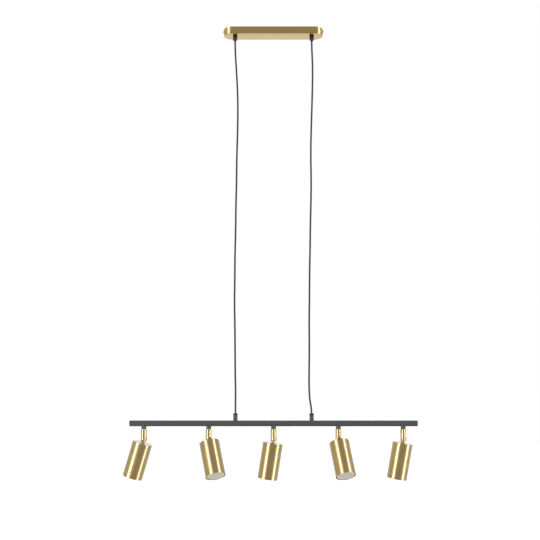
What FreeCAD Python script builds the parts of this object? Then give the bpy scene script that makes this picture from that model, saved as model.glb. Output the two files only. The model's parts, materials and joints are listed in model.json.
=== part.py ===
import FreeCAD, Part
import math
import operator
import os
import Sketcher

# Linear island pendant: a stadium-shaped ceiling canopy, two cords, a straight round bar and five spot heads
# that turn on their stems and tilt in slotted knuckles.
# Millimetres. The origin is the middle of the ceiling plane: X runs along the bar, to the right as seen from
# the front, Y to the back and Z up, so the whole light hangs below zero.

HEAD_COUNT = 5
HEADS = range(1, HEAD_COUNT + 1)
SIDES = (-1, 1)

SIZES = {
    # ceiling canopy, a drawn dish with round ends
    "canopy_length": 286.0,
    "canopy_width": 48.0,
    "canopy_height": 20.5,
    "canopy_wall": 1.2,
    "canopy_edge": 1.6,
    # steel strip that is screwed to the ceiling inside it
    "bracket_width": 22.0,
    "bracket_thickness": 1.5,
    "bracket_tab": 12.0,
    "bracket_bend": 1.0,
    "ceiling_slot_pitch": 120.0,
    "ceiling_slot_length": 24.0,
    "ceiling_slot_width": 5.5,
    "supply_hole_radius": 7.0,
    "supply_hole_offset": 32.0,
    # screws through the canopy's round ends
    "side_screw_drop": 6.5,
    "side_screw_radius": 2.0,
    "side_screw_length": 9.0,
    "screw_head_radius": 3.8,
    "screw_head_height": 2.6,
    "screw_head_round": 1.9,
    # cords and the grips that hold them in the canopy
    "cable_radius": 2.5,
    "grip_pitch": 222.0,
    "grip_radius": 6.4,
    "grip_length": 13.0,
    "grip_tip_radius": 4.2,
    "grip_taper": 3.6,
    "grip_thread_radius": 5.0,
    "grip_thread_rise": 6.0,
    "grip_nut_across": 14.0,
    "grip_nut_height": 2.8,
    # terminal block and leads
    "terminal_length": 30.0,
    "terminal_width": 16.0,
    "terminal_height": 12.0,
    "terminal_pitch": 10.0,
    "wire_hole_radius": 1.5,
    "wire_hole_drop": 4.5,
    "well_radius": 1.9,
    "well_depth": 3.5,
    "well_offset": 4.5,
    "terminal_notch_width": 1.9,
    "terminal_notch_depth": 1.7,
    "terminal_screw_height": 2.6,
    "screw_slot_width": 0.85,
    "screw_slot_depth": 0.9,
    "lead_radius": 0.9,
    "lead_gap": 2.4,
    "lead_straight": 30.0,
    "lead_spread": 8.0,
    "lead_turn_out": 6.0,
    "lead_turn_along": 14.0,
    "lead_insertion": 3.0,
    # bar
    "bar_drop": 1135.0,
    "bar_length": 800.0,
    "bar_radius": 8.0,
    "bar_wall": 1.2,
    "weld_fillet": 1.2,
    "cap_length": 6.0,
    "cap_plug": 8.0,
    "cap_edge": 1.0,
    # stems on top of the bar, with the collars that clamp the cords
    "cord_stem_pitch": 212.0,
    "cord_stem_radius": 5.9,
    "cord_stem_rise": 23.0,
    "collar_radius": 6.3,
    "collar_height": 4.8,
    "collar_edge": 0.8,
    "collar_spigot_radius": 3.9,
    "collar_spigot": 7.0,
    "conductor_radius": 0.8,
    "conductor_gap": 2.4,
    # stems below the bar and the nipples on which the heads turn
    "head_end_margin": 40.0,
    "head_stem_radius": 6.7,
    "head_stem_drop": 14.5,
    "nipple_radius": 5.0,
    "nipple_bore": 3.0,
    "nipple_reach": 7.5,
    "nipple_flange_radius": 6.0,
    "nipple_flange": 2.2,
    # brass sleeve of each head
    "sleeve_radius": 8.0,
    "sleeve_bore": 6.2,
    "sleeve_length": 34.4,
    "sleeve_top_wall": 3.0,
    "sleeve_shoulder": 1.6,
    "sleeve_shoulder_height": 2.2,
    "sleeve_end_taper": 2.8,
    "sleeve_end_radius": 6.65,
    "pivot_rise": 6.0,
    # pin and tongue of the tilt knuckle
    "pin_radius": 2.0,
    "tongue_thickness": 5.0,
    "tongue_half_width": 4.5,
    "barrel_radius": 3.8,
    "barrel_length": 9.4,
    "foot_radius": 6.0,
    "foot_thickness": 1.2,
    "stud_radius": 4.0,
    "stud_length": 7.8,
    "wire_bore": 1.4,
    "wire_exit_radius": 1.7,
    "wire_exit_drop": 6.9,
    # shade
    "pivot_to_shade": 10.5,
    "shade_radius": 28.0,
    "shade_wall": 1.2,
    "shade_top": 1.5,
    "shade_length": 100.0,
    "shade_edge": 0.8,
    "shade_nut_across": 13.0,
    "shade_nut_height": 4.0,
    # strap and lampholder inside the shade
    "strap_thickness": 1.0,
    "strap_width": 12.0,
    "strap_bend": 0.8,
    "strap_overlap": 9.0,
    "holder_length": 27.0,
    "holder_width": 17.0,
    "holder_height": 17.7,
    "pip_radius": 1.5,
    "pip_height": 0.9,
    "pip_drop": 5.0,
    "pin_slot_radius": 2.8,
    "pin_slot_depth": 8.0,
    # reflector bulb, set back a little from the shade's mouth
    "bulb_inset": 1.0,
    "bulb_radius": 25.0,
    "bulb_rim": 4.5,
    "bulb_rim_edge": 0.8,
    "bulb_cup_radius": 20.6,
    "bulb_cup_height": 20.0,
    "bulb_neck_radius": 14.0,
    "bulb_reflector_height": 37.5,
    "bulb_base_radius": 12.5,
    "bulb_base_height": 12.0,
    "contact_pin_pitch": 10.0,
    "contact_pin_radius": 1.5,
    "contact_pin_length": 7.0,
    "contact_head_radius": 2.4,
    "contact_head_height": 2.5,
    "lens_radius": 20.4,
    "lens_thickness": 1.6,
    "lens_inset": 0.4,
    # clearances: seats, push fits, turning fits and the free gap between faces that turn past each other
    "seat_gap": 0.05,
    "push_fit": 0.05,
    "turning_fit": 0.05,
    "turning_gap": 0.3,
    "loose_fit": 0.2,
    "slot_fit": 0.1,
}

# Rest pose of the heads, in degrees: turn about the stem, then tilt of the shade.
REST_ANGLES = {
    "turn_1": -16.7,
    "turn_2": -62.3,
    "turn_3": -21.3,
    "turn_4": -71.0,
    "turn_5": -22.0,
    "tilt_1": -17.2,
    "tilt_2": 26.2,
    "tilt_3": -9.5,
    "tilt_4": 26.9,
    "tilt_5": -10.7,
}

# Routes of the two cords, chosen by hand after their gentle waves: from inside the canopy's grips, at the
# top, to the collars on the bar's stems.
CABLE_LEFT_ROUTE = (
    (-111.0, 0.0, -11.5),
    (-111.0, 0.0, -58.0),
    (-107.0, 0.9, -118.0),
    (-103.2, 1.6, -184.0),
    (-102.0, 1.1, -250.0),
    (-103.1, 0.2, -318.0),
    (-104.9, -0.7, -386.0),
    (-105.1, -1.5, -452.0),
    (-106.9, -0.8, -522.0),
    (-107.2, 0.3, -590.0),
    (-109.0, 0.9, -660.0),
    (-109.1, 1.8, -729.0),
    (-110.0, 0.7, -798.0),
    (-108.3, -0.3, -866.0),
    (-107.5, -1.2, -930.0),
    (-107.1, -0.4, -992.0),
    (-105.6, 0.3, -1046.0),
    (-106.0, 0.0, -1084.0),
    (-106.0, 0.0, -1119.0),
)
CABLE_RIGHT_ROUTE = (
    (111.0, 0.0, -11.5),
    (111.0, 0.0, -56.0),
    (113.5, -0.8, -108.0),
    (112.6, -1.6, -170.0),
    (110.6, -0.9, -236.0),
    (108.2, 0.1, -304.0),
    (106.7, 0.7, -372.0),
    (107.9, 1.6, -440.0),
    (107.0, 0.9, -506.0),
    (104.8, 0.1, -574.0),
    (103.8, -1.0, -644.0),
    (101.8, -1.6, -714.0),
    (101.4, -0.6, -784.0),
    (100.1, 0.4, -853.0),
    (100.6, 1.3, -922.0),
    (99.6, 0.8, -984.0),
    (99.0, 0.1, -1036.0),
    (100.9, 0.2, -1070.0),
    (106.0, 0.0, -1096.0),
    (106.0, 0.0, -1119.0),
)


# faces, edges and points nearer than this coincide
NEAR = 1e-4
# a cut that takes away less than this, in cubic millimetres, has missed
LEAST_CUT = 0.01
# how far a cut runs past the face that it opens
OVERRUN = 1.0


class Size:
    """A number and the sheet formula that gives it, so that a feature can be bound to the formula."""

    def __init__(self, number, formula):
        self.number = number
        self.formula = formula

    def __neg__(self):
        return Size(-self.number, f"(-{self.formula})")


def as_size(value):
    """A plain number becomes a size whose formula is that number."""
    return value if isinstance(value, Size) else Size(float(value), f"{value:g}")


def arithmetic(sign, work):
    """One step of arithmetic, done on the numbers and written into the formula alike."""

    def step(left, right):
        left = as_size(left)
        right = as_size(right)
        return Size(work(left.number, right.number), f"({left.formula} {sign} {right.formula})")

    return step


for dunder, sign, work in (
    ("add", "+", operator.add),
    ("sub", "-", operator.sub),
    ("mul", "*", operator.mul),
    ("truediv", "/", operator.truediv),
):
    step = arithmetic(sign, work)
    setattr(Size, f"__{dunder}__", step)
    setattr(Size, f"__r{dunder}__", lambda right, left, step=step: step(left, right))


def root(value):
    return Size(math.sqrt(value.number), f"sqrt({value.formula})")


doc = FreeCAD.newDocument("island_pendant")
sheet = doc.addObject("Spreadsheet::Sheet", "sizes")
for row, (alias, number) in enumerate({**SIZES, **REST_ANGLES}.items(), start=1):
    sheet.set(f"A{row}", alias)
    sheet.set(f"B{row}", f"{number:g}")
    sheet.setAlias(f"B{row}", alias)
doc.recompute()


def size(alias):
    return Size(float(sheet.get(alias)), f"sizes.{alias}")


ZERO = Size(0.0, "0")
UP = FreeCAD.Vector(0, 0, 1)
RIGHT = FreeCAD.Vector(1, 0, 0)
BACK = FreeCAD.Vector(0, 1, 0)

seat_gap = size("seat_gap")
push_fit = size("push_fit")
turning_fit = size("turning_fit")
turning_gap = size("turning_gap")
loose_fit = size("loose_fit")

# places that several pieces share
canopy_height = size("canopy_height")
canopy_floor = -canopy_height + size("canopy_wall")
grip_bore = size("cable_radius") + push_fit
bar_drop = size("bar_drop")
bar_radius = size("bar_radius")
sleeve_top = -(size("head_stem_drop") + turning_gap)
sleeve_ceiling = sleeve_top - size("sleeve_top_wall")
sleeve_end = sleeve_top - size("sleeve_length")
pivot_height = sleeve_end + size("pivot_rise")
foot_face = -size("pivot_to_shade")
shade_outer_top = foot_face - seat_gap
shade_inner_top = shade_outer_top - size("shade_top")
shade_mouth = shade_outer_top - size("shade_length")
strap_face = shade_inner_top - seat_gap
strap_underside = strap_face - size("strap_thickness")
bulb_face = shade_mouth + size("bulb_inset")
bulb_neck = bulb_face + size("bulb_reflector_height")
bulb_base = bulb_neck + size("bulb_base_height")
holder_face = bulb_base + seat_gap
holder_top = holder_face + size("holder_height")


# ---------------------------------------------------------------- sketches and features


def new_body(label):
    body = doc.addObject("PartDesign::Body", label)
    body.Label = label
    return body


def new_sketch(body, role, height=None):
    """An empty sketch on one of the body's own origin planes, or at a height above it."""
    plane = next(item for item in body.Origin.OriginFeatures if item.Role == role)
    sketch = body.newObject("Sketcher::SketchObject", "outline")
    sketch.AttachmentSupport = [(plane, "")]
    sketch.MapMode = "FlatFace"
    if height is not None:
        sketch.setExpression("AttachmentOffset.Base.z", height.formula)
    return sketch


def bind(sketch, kind, distance, *ends):
    """One measured constraint, bound to its formula."""
    index = sketch.addConstraint(Sketcher.Constraint(kind, *ends, distance.number))
    sketch.setExpression(f"Constraints[{index}]", distance.formula)


def hold(sketch, geometry, end, spot):
    """Hold a point at its two distances from the sketch's origin."""
    horizontal_axis = -1
    vertical_axis = -2
    for kind, axis, distance in (
        ("DistanceX", vertical_axis, spot[0]),
        ("DistanceY", horizontal_axis, spot[1]),
    ):
        if distance.number == 0:
            sketch.addConstraint(Sketcher.Constraint("PointOnObject", geometry, end, axis))
        else:
            bind(sketch, kind, distance, -1, 1, geometry, end)


def spot_vector(spot):
    return FreeCAD.Vector(spot[0].number, spot[1].number, 0)


def polygon(sketch, corners):
    """Straight sides through corners given as (across, up)."""
    corners = [(as_size(across), as_size(up)) for across, up in corners]
    first = sketch.GeometryCount
    count = len(corners)
    for index, corner in enumerate(corners):
        following = corners[(index + 1) % count]
        sketch.addGeometry(Part.LineSegment(spot_vector(corner), spot_vector(following)), False)
    for index, corner in enumerate(corners):
        following = first + (index + 1) % count
        sketch.addConstraint(Sketcher.Constraint("Coincident", first + index, 2, following, 1))
        hold(sketch, first + index, 1, corner)


def rectangle(sketch, left, right, bottom, top):
    polygon(sketch, ((left, bottom), (right, bottom), (right, top), (left, top)))


def circle(sketch, across, up, radius):
    spot = (as_size(across), as_size(up))
    index = sketch.addGeometry(Part.Circle(spot_vector(spot), UP, radius.number), False)
    hold(sketch, index, 3, spot)
    bind(sketch, "Radius", radius, index)


def stadium(sketch, half_span, radius, middle=ZERO):
    """Two half circles, half_span to the left and right of the middle, joined by straight sides along X."""
    centres = ((middle + half_span, ZERO), (middle - half_span, ZERO))
    reach = radius.number
    quarter = math.pi / 2
    right_end = Part.Circle(spot_vector(centres[0]), UP, reach)
    left_end = Part.Circle(spot_vector(centres[1]), UP, reach)
    rise = FreeCAD.Vector(0, reach, 0)
    right = sketch.addGeometry(Part.ArcOfCircle(right_end, -quarter, quarter), False)
    left = sketch.addGeometry(Part.ArcOfCircle(left_end, quarter, 3 * quarter), False)
    upper_line = Part.LineSegment(right_end.Center + rise, left_end.Center + rise)
    lower_line = Part.LineSegment(left_end.Center - rise, right_end.Center - rise)
    upper = sketch.addGeometry(upper_line, False)
    lower = sketch.addGeometry(lower_line, False)
    for one, its_end, other in ((right, 2, upper), (upper, 2, left), (left, 2, lower), (lower, 2, right)):
        sketch.addConstraint(Sketcher.Constraint("Tangent", one, its_end, other, 1))
    sketch.addConstraint(Sketcher.Constraint("Equal", right, left))
    hold(sketch, right, 3, centres[0])
    hold(sketch, left, 3, centres[1])
    bind(sketch, "Radius", radius, right)


def round_ended(sketch, radius, foot):
    """A blade with a half circle round the origin on top and straight sides down to its foot."""
    circle_on_top = Part.Circle(FreeCAD.Vector(), UP, radius.number)
    top = sketch.addGeometry(Part.ArcOfCircle(circle_on_top, 0, math.pi), False)
    corners = [(-radius, ZERO), (-radius, foot), (radius, foot), (radius, ZERO)]
    left, bottom, right = [
        sketch.addGeometry(Part.LineSegment(spot_vector(one), spot_vector(other)), False)
        for one, other in zip(corners, corners[1:])
    ]
    sketch.addConstraint(Sketcher.Constraint("Tangent", top, 2, left, 1))
    sketch.addConstraint(Sketcher.Constraint("Tangent", right, 2, top, 1))
    sketch.addConstraint(Sketcher.Constraint("Coincident", left, 2, bottom, 1))
    sketch.addConstraint(Sketcher.Constraint("Coincident", bottom, 2, right, 1))
    hold(sketch, top, 3, (ZERO, ZERO))
    hold(sketch, bottom, 1, corners[1])
    sketch.addConstraint(Sketcher.Constraint("Horizontal", bottom))


def pad(body, sketch, length, both_ways=False):
    feature = body.newObject("PartDesign::Pad", "pad")
    feature.Profile = sketch
    feature.setExpression("Length", length.formula)
    if both_ways:
        feature.SideType = "Symmetric"
    doc.recompute()
    return feature


def pocket(body, sketch, depth=None, upwards=False):
    """Cut the sketch out of the body, right through both ways or to a depth, and make sure that it cut."""
    volume_before = body.Shape.Volume
    feature = body.newObject("PartDesign::Pocket", "cut")
    feature.Profile = sketch
    if depth is None:
        feature.Type = "ThroughAll"
        feature.SideType = "Symmetric"
    else:
        feature.setExpression("Length", depth.formula)
        feature.Reversed = upwards
    doc.recompute()
    if body.Shape.Volume > volume_before - LEAST_CUT:
        raise ValueError(f"a cut in {body.Label} takes nothing away")
    return feature


def turned(label, profile):
    """A body turned about its own Z axis from corners given as (radius, height)."""
    body = new_body(label)
    sketch = new_sketch(body, "XZ_Plane")
    polygon(sketch, profile)
    feature = body.newObject("PartDesign::Revolution", "turned")
    feature.Profile = sketch
    feature.ReferenceAxis = (sketch, ["V_Axis"])
    doc.recompute()
    return body


def fillet(body, radius, wanted):
    """Round the edges of the body's last feature whose bounding boxes the test picks."""
    base = body.Tip
    names = [f"Edge{index}" for index, edge in enumerate(base.Shape.Edges, start=1) if wanted(edge.BoundBox)]
    if not names:
        raise ValueError(f"no edge of {body.Label} is picked to be rounded")
    feature = body.newObject("PartDesign::Fillet", "rounded")
    feature.Base = (base, names)
    feature.setExpression("Radius", radius.formula)
    doc.recompute()
    return feature


def flat_at(box, height):
    return abs(box.ZMin - height.number) < NEAR and abs(box.ZMax - height.number) < NEAR


def round_rim(body, radius, height, least_radius):
    """Round the circular edge that a turned body has at one height, outside a least radius."""
    least_width = (least_radius + least_radius).number + NEAR
    fillet(body, radius, lambda box: flat_at(box, height) and box.YLength > least_width)


def hexagon(sketch, across_flats):
    """Six corners with two flats facing along Y."""
    corner_reach = across_flats / math.sqrt(3)
    corners = []
    for sixth in range(6):
        angle = math.radians(60 * sixth)
        corners.append((corner_reach * math.cos(angle), corner_reach * math.sin(angle)))
    polygon(sketch, [(tidy_zero(across), tidy_zero(up)) for across, up in corners])


def tidy_zero(value):
    """A distance that is zero but for rounding is zero, so that its point is held on the axis."""
    return ZERO if abs(value.number) < NEAR else value


def hexagon_nut(label, across_flats, hole_radius, height):
    body = new_body(label)
    sketch = new_sketch(body, "XY_Plane")
    hexagon(sketch, across_flats)
    circle(sketch, ZERO, ZERO, hole_radius)
    pad(body, sketch, height)
    return body


def place(thing, x=0.0, y=0.0, z=0.0, rotation=None):
    thing.Placement = FreeCAD.Placement(FreeCAD.Vector(x, y, z), rotation or FreeCAD.Rotation())
    return thing


def group(label, pieces):
    """Identical pieces that share a node, each still a solid of its own."""
    compound = doc.addObject("Part::Compound", label)
    compound.Label = label
    compound.Links = pieces
    return compound


def cylinder(name, radius, height, placement):
    thing = doc.addObject("Part::Cylinder", name)
    thing.setExpression("Radius", radius.formula)
    thing.setExpression("Height", height.formula)
    thing.Placement = placement
    return thing


def fused(name, pieces):
    thing = doc.addObject("Part::MultiFuse", name)
    thing.Shapes = pieces
    return thing


def cut_away(name, base, tool):
    thing = doc.addObject("Part::Cut", name)
    thing.Base = base
    thing.Tool = tool
    return thing


# ---------------------------------------------------------------- cords and leads


def rounded_route(route):
    """Straight runs joined by tangent arcs, each arc taking 0.45 of its shorter run on both sides."""
    share = 0.45
    corners = [FreeCAD.Vector(*spot) for spot in route]
    edges = []
    radii = []
    start = corners[0]
    for before, corner, after in zip(corners, corners[1:], corners[2:]):
        back = before - corner
        ahead = after - corner
        reach = share * min(back.Length, ahead.Length)
        back.normalize()
        ahead.normalize()
        half_turn = (math.pi - back.getAngle(ahead)) / 2
        radius = reach / math.tan(half_turn)
        inward = back + ahead
        inward.normalize()
        crown = corner + inward * (radius / math.cos(half_turn) - radius)
        arc_start = corner + back * reach
        arc_end = corner + ahead * reach
        edges.append(Part.LineSegment(start, arc_start).toShape())
        edges.append(Part.Arc(arc_start, crown, arc_end).toShape())
        radii.append(radius)
        start = arc_end
    edges.append(Part.LineSegment(start, corners[-1]).toShape())
    return Part.Wire(edges), radii


def tube_along(name, route, radius):
    """A round tube that follows the rounded route, with its volume compared with section times length."""
    path, radii = rounded_route(route)
    start = path.OrderedVertexes[0].Point
    heading = FreeCAD.Vector(*route[1]) - FreeCAD.Vector(*route[0])
    section = Part.Wire(Part.Circle(start, heading, radius).toShape())
    tube = path.makePipeShell([section], True, False)
    expected = math.pi * radius**2 * path.Length
    print(f"{name}: length {path.Length:.1f}, least radius {min(radii):.1f}, volume / expected", end=" ")
    print(f"{tube.Volume / expected:.5f}")
    print("   radii:", " ".join(f"{bend:.0f}" for bend in radii))
    return tube


def make_cable(label, route):
    cable = doc.addObject("Part::Feature", label)
    cable.Label = label
    cable.Shape = tube_along(label, route, size("cable_radius").number)
    cable.Placement = FreeCAD.Placement()
    return cable


# ---------------------------------------------------------------- canopy and what it holds


def make_canopy():
    """A dish with round ends, open at the ceiling, with a hole for each grip and each side screw."""
    body = new_body("canopy")
    end_radius = size("canopy_width") / 2
    half_span = size("canopy_length") / 2 - end_radius
    outside = new_sketch(body, "XY_Plane", -canopy_height)
    stadium(outside, half_span, end_radius)
    pad(body, outside, canopy_height)
    fillet(body, size("canopy_edge"), lambda box: flat_at(box, -canopy_height))
    inside = new_sketch(body, "XY_Plane")
    stadium(inside, half_span, end_radius - size("canopy_wall"))
    pocket(body, inside, canopy_height - size("canopy_wall"))
    grip_holes = new_sketch(body, "XY_Plane")
    for side in SIDES:
        circle(grip_holes, side * size("grip_pitch") / 2, ZERO, size("grip_thread_radius") + loose_fit)
    pocket(body, grip_holes)
    screw_holes = new_sketch(body, "YZ_Plane")
    circle(screw_holes, ZERO, -size("side_screw_drop"), size("side_screw_radius") + loose_fit)
    pocket(body, screw_holes)
    return body


def bracket_end():
    """The tabs stand as far out as the canopy's round ends leave room for their corners."""
    inner_radius = size("canopy_width") / 2 - size("canopy_wall")
    half_width = size("bracket_width") / 2
    end_bow = inner_radius - root(inner_radius * inner_radius - half_width * half_width)
    return size("canopy_length") / 2 - size("canopy_wall") - end_bow - turning_gap


def make_bracket():
    """A strip with its ends bent down, ceiling slots, a hole for the supply cable and tapped tabs."""
    body = new_body("ceiling_bracket")
    thickness = size("bracket_thickness")
    end = bracket_end()
    inner_end = end - thickness
    tab_foot = -size("bracket_tab")
    profile = new_sketch(body, "XZ_Plane")
    polygon(
        profile,
        (
            (-end, tab_foot),
            (-end, ZERO),
            (end, ZERO),
            (end, tab_foot),
            (inner_end, tab_foot),
            (inner_end, -thickness),
            (-inner_end, -thickness),
            (-inner_end, tab_foot),
        ),
    )
    pad(body, profile, size("bracket_width"), both_ways=True)
    bend = size("bracket_bend")
    fillet(body, bend, lambda box: flat_at(box, -thickness) and box.XLength < NEAR)
    fillet(body, bend + thickness, lambda box: flat_at(box, ZERO) and box.XLength < NEAR)
    holes = new_sketch(body, "XY_Plane")
    slot_radius = size("ceiling_slot_width") / 2
    for side in SIDES:
        slot_half_span = size("ceiling_slot_length") / 2 - slot_radius
        stadium(holes, slot_half_span, slot_radius, side * size("ceiling_slot_pitch") / 2)
    circle(holes, -size("supply_hole_offset"), ZERO, size("supply_hole_radius"))
    pocket(body, holes)
    tapped_holes = new_sketch(body, "YZ_Plane")
    circle(tapped_holes, ZERO, -size("side_screw_drop"), size("side_screw_radius") + push_fit)
    pocket(body, tapped_holes)
    return body


def make_side_screws():
    """Domed screws whose heads seat on the canopy's round ends and whose shanks reach into the tabs."""
    screws = []
    head_radius = size("screw_head_radius")
    head_height = size("screw_head_height")
    shank_radius = size("side_screw_radius")
    for side in SIDES:
        profile = (
            (ZERO, -size("side_screw_length")),
            (shank_radius, -size("side_screw_length")),
            (shank_radius, ZERO),
            (head_radius, ZERO),
            (head_radius, head_height),
            (ZERO, head_height),
        )
        screw = turned("canopy_screw", profile)
        fillet(screw, size("screw_head_round"), lambda box: flat_at(box, head_height))
        seat = size("canopy_length") / 2 + seat_gap
        outwards = FreeCAD.Rotation(BACK, 90 * side)
        place(screw, x=side * seat.number, z=-size("side_screw_drop").number, rotation=outwards)
        screws.append(screw)
    return group("canopy_screws", screws)


def make_canopy_grips():
    """Cord grips: a threaded spigot through the canopy's floor and a tapered body below it."""
    length = size("grip_length")
    profile = (
        (grip_bore, size("grip_thread_rise")),
        (size("grip_thread_radius"), size("grip_thread_rise")),
        (size("grip_thread_radius"), -seat_gap),
        (size("grip_radius"), -seat_gap),
        (size("grip_radius"), size("grip_taper") - length),
        (size("grip_tip_radius"), -length),
        (grip_bore, -length),
    )
    grips = []
    for side in SIDES:
        grip = turned("canopy_cord_grip", profile)
        grips.append(place(grip, x=side * size("grip_pitch").number / 2, z=-canopy_height.number))
    return group("canopy_cord_grips", grips)


def make_grip_nuts():
    nuts = []
    for side in SIDES:
        hole_radius = size("grip_thread_radius") + push_fit
        nut = hexagon_nut("grip_nut", size("grip_nut_across"), hole_radius, size("grip_nut_height"))
        height = canopy_floor + seat_gap
        nuts.append(place(nut, x=side * size("grip_pitch").number / 2, z=height.number))
    return group("grip_nuts", nuts)


def terminal_top():
    return -(size("bracket_thickness") + seat_gap)


def pole_places():
    """The connector's poles, one pitch apart about the middle."""
    return [pole * size("terminal_pitch") for pole in (-1, 0, 1)]


def make_terminal_block():
    """A strip connector with a wire hole through each pole, two screw wells in each and notches between."""
    body = new_body("terminal_block")
    half_length = size("terminal_length") / 2
    half_width = size("terminal_width") / 2
    underside = terminal_top() - size("terminal_height")
    base = new_sketch(body, "XY_Plane", underside)
    rectangle(base, -half_length, half_length, -half_width, half_width)
    pad(body, base, size("terminal_height"))
    wire_holes = new_sketch(body, "XZ_Plane")
    wells = new_sketch(body, "XY_Plane", underside)
    for across in pole_places():
        across = tidy_zero(across)
        circle(wire_holes, across, terminal_top() - size("wire_hole_drop"), size("wire_hole_radius"))
        for side in SIDES:
            circle(wells, across, side * size("well_offset"), size("well_radius"))
    pocket(body, wire_holes)
    pocket(body, wells, size("well_depth"), upwards=True)
    notches = new_sketch(body, "XZ_Plane")
    notch_half = size("terminal_notch_width") / 2
    notch_top = underside + size("terminal_notch_depth")
    for side in SIDES:
        middle = side * size("terminal_pitch") / 2
        rectangle(notches, middle - notch_half, middle + notch_half, underside - OVERRUN, notch_top)
    pocket(body, notches)
    return body


def make_terminal_screws():
    """Six slotted screws, one in each well of the terminal block."""
    radius = size("well_radius") - loose_fit
    height = size("terminal_screw_height")
    foot = terminal_top() - size("terminal_height") + size("well_depth") - seat_gap - height
    slot_half = size("screw_slot_width") / 2
    slot_reach = radius + OVERRUN
    screws = []
    for across in pole_places():
        for side in SIDES:
            screw = new_body("terminal_screw")
            outline = new_sketch(screw, "XY_Plane")
            circle(outline, ZERO, ZERO, radius)
            pad(screw, outline, height)
            slot = new_sketch(screw, "XY_Plane")
            rectangle(slot, -slot_reach, slot_reach, -slot_half, slot_half)
            pocket(screw, slot, size("screw_slot_depth"), upwards=True)
            spot_y = side * size("well_offset").number
            screws.append(place(screw, x=across.number, y=spot_y, z=foot.number))
    return group("terminal_screws", screws)


def make_canopy_wiring():
    """Two leads from the end of each cord to the outer poles of the terminal block."""
    radius = size("lead_radius").number
    cord_end = CABLE_RIGHT_ROUTE[0][2] + seat_gap.number
    lead_height = (terminal_top() - size("wire_hole_drop")).number
    half_gap = size("lead_gap").number / 2
    pole = size("terminal_pitch").number
    entry = size("terminal_width").number / 2
    turn_out = entry + size("lead_turn_out").number
    grip_x = size("grip_pitch").number / 2
    spread_x = grip_x - size("lead_straight").number
    spread_y = size("lead_spread").number
    leads = []
    for side in SIDES:
        for face in SIDES:
            route = (
                (side * grip_x, face * half_gap, cord_end),
                (side * grip_x, face * half_gap, lead_height),
                (side * spread_x, face * spread_y, lead_height),
                (side * (pole + size("lead_turn_along").number), face * turn_out, lead_height),
                (side * pole, face * turn_out, lead_height),
                (side * pole, face * (entry - size("lead_insertion").number), lead_height),
            )
            lead = doc.addObject("Part::Feature", "canopy_lead")
            lead.Shape = tube_along("canopy_lead", route, radius)
            leads.append(lead)
    return group("canopy_wiring", leads)


# ---------------------------------------------------------------- bar


def along_bar(x_start):
    return FreeCAD.Placement(
        FreeCAD.Vector(x_start, 0, -bar_drop.number), FreeCAD.Rotation(BACK, 90)
    )


def at_bar(x, height):
    return FreeCAD.Placement(FreeCAD.Vector(x, 0, height - bar_drop.number), FreeCAD.Rotation())


def head_pitch():
    """The heads are spread evenly between the two end margins."""
    return (size("bar_length") - size("head_end_margin") * 2) / (HEAD_COUNT - 1)


def head_x(number):
    middle_head = (HEAD_COUNT + 1) / 2
    return (number - middle_head) * head_pitch().number


def cord_stem_x(side):
    return side * size("cord_stem_pitch").number / 2


def tube_half_length():
    return size("bar_length") / 2 - size("cap_length")


def is_weld_seam(shape, edge):
    """True where a stem's upright wall meets the bar's lying wall."""
    walls = [face.Surface for face in shape.ancestorsOfType(edge, Part.Face)]
    lying = [abs(wall.Axis.dot(RIGHT)) > 0.5 for wall in walls if isinstance(wall, Part.Cylinder)]
    return True in lying and False in lying


def make_bar_frame():
    """The bar's tube with stems coped and welded into it, bored through into the tube."""
    half = tube_half_length()
    drop = size("head_stem_drop")
    rise = size("cord_stem_rise")
    outer = [cylinder("bar_outside", bar_radius, half * 2, along_bar(-half.number))]
    bores = [cylinder("bar_inside", bar_radius - size("bar_wall"), half * 2, along_bar(-half.number))]
    for side in SIDES:
        x = cord_stem_x(side)
        outer.append(cylinder("cord_stem", size("cord_stem_radius"), rise, at_bar(x, 0)))
        bore_radius = size("collar_spigot_radius") + push_fit
        bores.append(cylinder("cord_stem_bore", bore_radius, rise, at_bar(x, 0)))
    for number in HEADS:
        spot = at_bar(head_x(number), -drop.number)
        outer.append(cylinder("head_stem", size("head_stem_radius"), drop, spot))
        bores.append(cylinder("head_stem_bore", size("nipple_radius") + push_fit, drop, spot))
    solid = fused("bar_and_stems", outer)
    doc.recompute()
    welds = doc.addObject("Part::Fillet", "weld_beads")
    welds.Base = solid
    radius = size("weld_fillet").number
    welds.Edges = [
        (index, radius, radius)
        for index, edge in enumerate(solid.Shape.Edges, start=1)
        if is_weld_seam(solid.Shape, edge)
    ]
    frame = cut_away("bar_frame", welds, fused("bar_bores", bores))
    frame.Label = "bar_frame"
    return frame


def make_end_caps():
    """A cap in each end of the bar: a rounded disc as wide as the tube, on a plug that fills its bore."""
    length = size("cap_length")
    plug_radius = bar_radius - size("bar_wall") - push_fit
    profile = (
        (ZERO, -size("cap_plug")),
        (plug_radius, -size("cap_plug")),
        (plug_radius, seat_gap),
        (bar_radius, seat_gap),
        (bar_radius, length),
        (ZERO, length),
    )
    caps = []
    for side in SIDES:
        cap = turned("end_cap", profile)
        fillet(cap, size("cap_edge"), lambda box: flat_at(box, length))
        outwards = FreeCAD.Rotation(BACK, 90 * side)
        x = side * tube_half_length().number
        caps.append(place(cap, x=x, z=-bar_drop.number, rotation=outwards))
    return group("end_caps", caps)


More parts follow.
